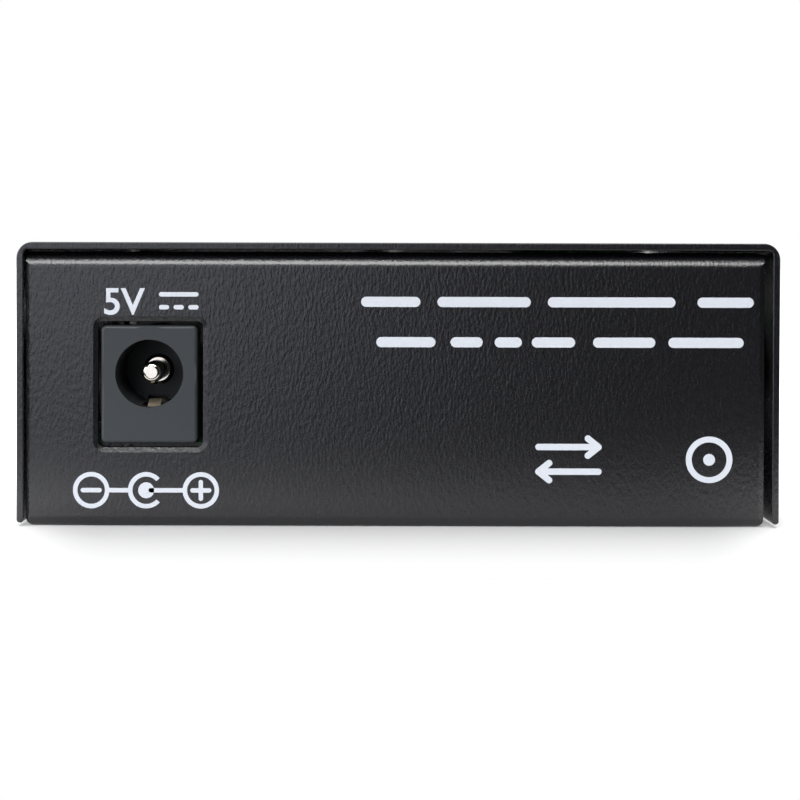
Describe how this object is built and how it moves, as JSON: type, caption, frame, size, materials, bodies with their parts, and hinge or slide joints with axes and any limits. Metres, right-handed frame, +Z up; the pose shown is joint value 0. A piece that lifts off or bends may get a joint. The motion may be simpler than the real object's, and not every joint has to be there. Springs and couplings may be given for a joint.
{
  "type": "fibre media converter",
  "caption": "Small desktop fibre media converter: folded black steel case with a power jack behind and copper and duplex fibre ports in front.",
  "frame": {"origin": "on the surface the case stands on, under the middle of the case", "axes": "+Z up, +Y from the back panel with the power jack towards the front panel with the ports, +X to the right as seen from the back"},
  "size_m": [0.071, 0.094, 0.0265],
  "materials": {
    "black_powder_coat": "fine textured matt black powder coat",
    "black_zinc": "black zinc plated steel",
    "zinc_steel": "bright zinc plated steel",
    "board_laminate": "green solder mask on glass-fibre laminate",
    "jack_plastic": "matt dark grey moulding",
    "nickel_plate": "nickel plated brass",
    "spring_bronze": "bright spring bronze",
    "tinned_steel": "tinned steel sheet",
    "gold_plate": "gold plated contact wire",
    "black_nylon": "matt black nylon",
    "sleeve_plastic": "ivory moulded sleeve",
    "clip_plastic": "light grey moulding",
    "green_lens": "tinted clear lens",
    "capacitor_film": "dark shrink film over an aluminium can",
    "tan_ceramic": "tan ceramic body",
    "green_fuse": "green moulded body with tinned ends",
    "moulding_compound": "matt black moulding compound"
  },
  "bodies": {
    "case": {"base_tray": "black_powder_coat", "board_screw_left_back": "zinc_steel", "board_screw_left_front": "zinc_steel", "board_screw_right_back": "zinc_steel", "board_screw_right_front": "zinc_steel", "chip_capacitors": "tan_ceramic", "chip_resistors": "moulding_compound", "circuit_board": "board_laminate", "converter_chip": "moulding_compound", "cover_screw_1": "black_zinc", "cover_screw_2": "black_zinc", "cover_screw_3": "black_zinc", "cover_screw_4": "black_zinc", "crystal": "tinned_steel", "dc_jack_centre_pin": "nickel_plate", "dc_jack_housing": "jack_plastic", "dc_jack_sleeve_terminal": "spring_bronze", "dc_jack_switch_contact": "spring_bronze", "fuse": "green_fuse", "input_capacitor": "capacitor_film", "lamp_1": "green_lens", "lamp_2": "green_lens", "lamp_3": "green_lens", "lamp_4": "green_lens", "lamp_5": "green_lens", "lamp_6": "green_lens", "lamp_holder": "black_nylon", "memory_chip": "moulding_compound", "network_transformer": "moulding_compound", "output_capacitor": "capacitor_film", "power_inductor": "moulding_compound", "receive_ferrule_sleeve": "sleeve_plastic", "receive_latch_clip": "clip_plastic", "rj45_contacts": "gold_plate", "rj45_housing": "black_nylon", "rj45_shield": "tinned_steel", "standoff_left_back": "zinc_steel", "standoff_left_front": "zinc_steel", "standoff_right_back": "zinc_steel", "standoff_right_front": "zinc_steel", "top_cover": "black_powder_coat", "transceiver_housing": "black_nylon", "transceiver_pins": "gold_plate", "transceiver_shield": "tinned_steel", "transmit_ferrule_sleeve": "sleeve_plastic", "transmit_latch_clip": "clip_plastic", "voltage_regulator": "moulding_compound"},
    "leaf_contact": {"dc_jack_leaf_contact": "spring_bronze"}
  },
  "joints": [
    {"name": "leaf_contact_hinge", "type": "hinge", "parent": "case", "child": "leaf_contact", "pos_m": [-0.0232, -0.0362, 0.01053], "axis": [1, 0, 0], "range_deg": [0, 8], "stiffness_Nm_per_rad": 0.2}
  ]
}
